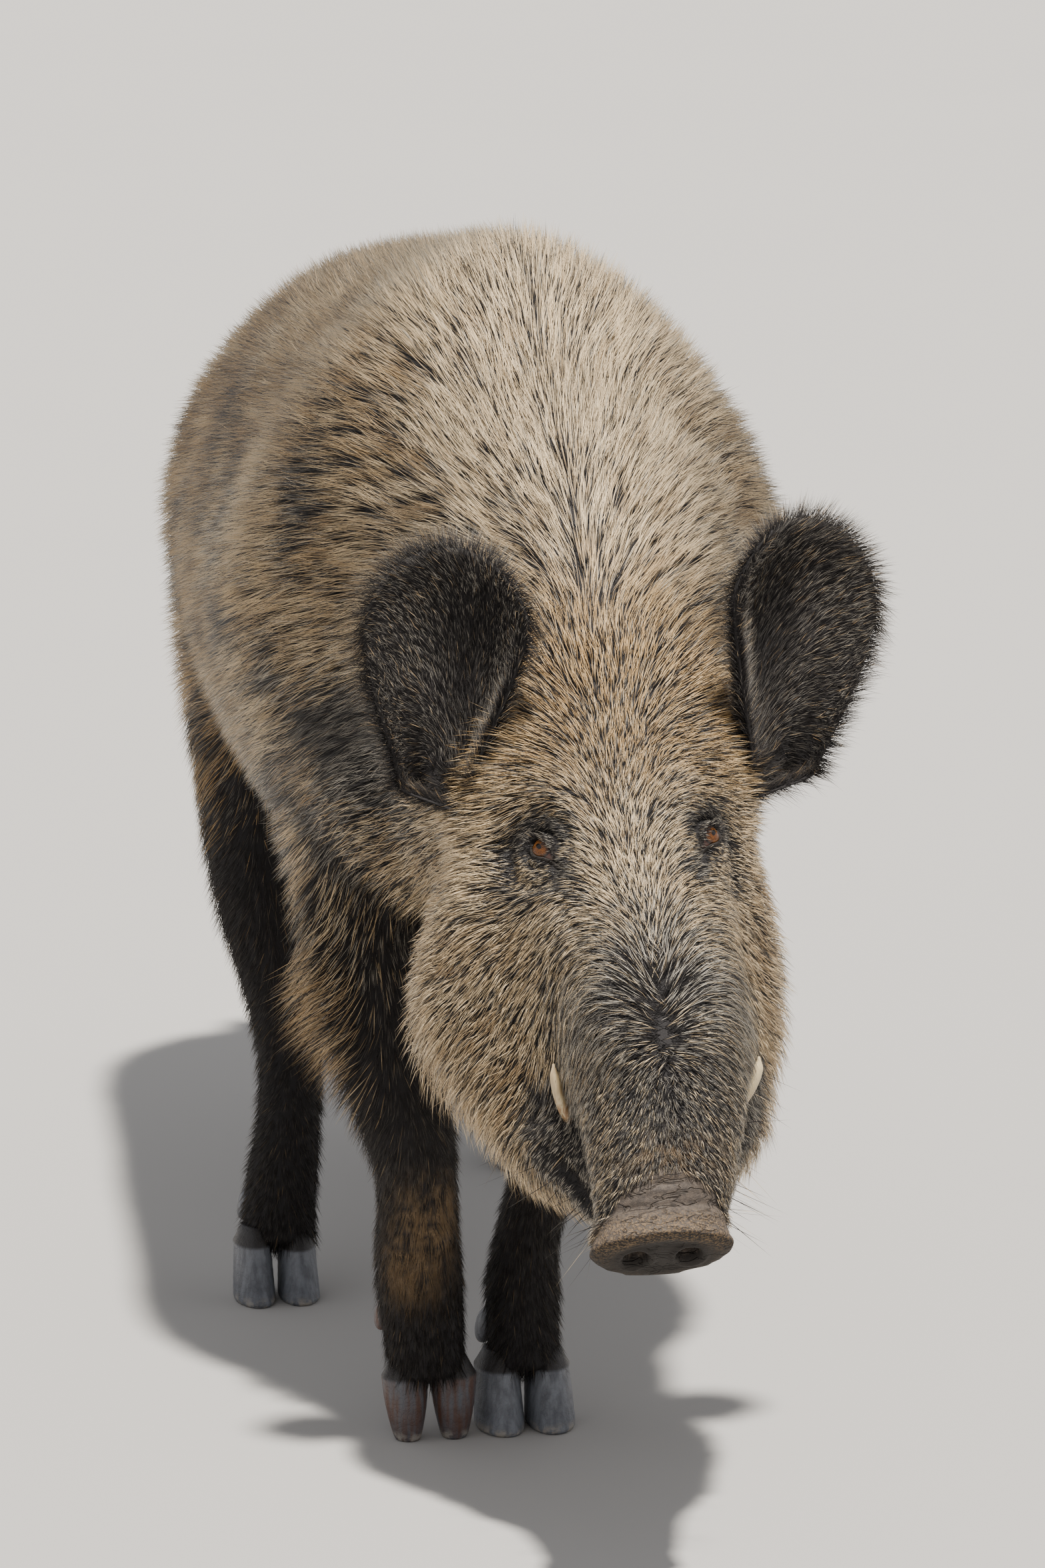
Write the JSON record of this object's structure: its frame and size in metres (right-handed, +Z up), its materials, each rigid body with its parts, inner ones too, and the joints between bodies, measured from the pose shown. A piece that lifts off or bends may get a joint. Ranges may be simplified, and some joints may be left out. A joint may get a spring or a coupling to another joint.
{
  "type": "wild boar",
  "caption": "Life-size adult male wild boar in a walking pose, head lowered, with bristly coat, tusks, large ears and hanging tail.",
  "frame": {"origin": "floor level under the middle of the outline box", "axes": "+Z up, the boar faces -Y, its left side is +X"},
  "size_m": [0.4178, 1.414, 0.854],
  "materials": {
    "bristle_coat": "coarse bristles with pale tips over dark underfur",
    "dark_coat": "short near-black hair",
    "bare_skin": "dry wrinkled grey-brown skin",
    "hoof": "worn slate-coloured horn",
    "tusk": "smooth stained ivory",
    "eye": "wet, orange-brown iris with a dark pupil"
  },
  "bodies": {
    "root": {"trunk": "bristle_coat", "neck": "bristle_coat", "head": "bristle_coat", "jaw": "bristle_coat", "snout": "bare_skin", "tail": "bristle_coat", "ear_left": "dark_coat", "eye_left": "eye", "tusk_left": "tusk", "ear_right": "dark_coat", "eye_right": "eye", "tusk_right": "tusk", "leg_front_left": "dark_coat", "hoof_front_left_outer": "hoof", "dewclaw_front_left_outer": "hoof", "hoof_front_left_inner": "hoof", "dewclaw_front_left_inner": "hoof", "leg_front_right": "dark_coat", "hoof_front_right_outer": "hoof", "dewclaw_front_right_outer": "hoof", "hoof_front_right_inner": "hoof", "dewclaw_front_right_inner": "hoof", "leg_hind_left": "dark_coat", "hoof_hind_left_outer": "hoof", "dewclaw_hind_left_outer": "hoof", "hoof_hind_left_inner": "hoof", "dewclaw_hind_left_inner": "hoof", "leg_hind_right": "dark_coat", "hoof_hind_right_outer": "hoof", "dewclaw_hind_right_outer": "hoof", "hoof_hind_right_inner": "hoof", "dewclaw_hind_right_inner": "hoof"}
  },
  "joints": []
}
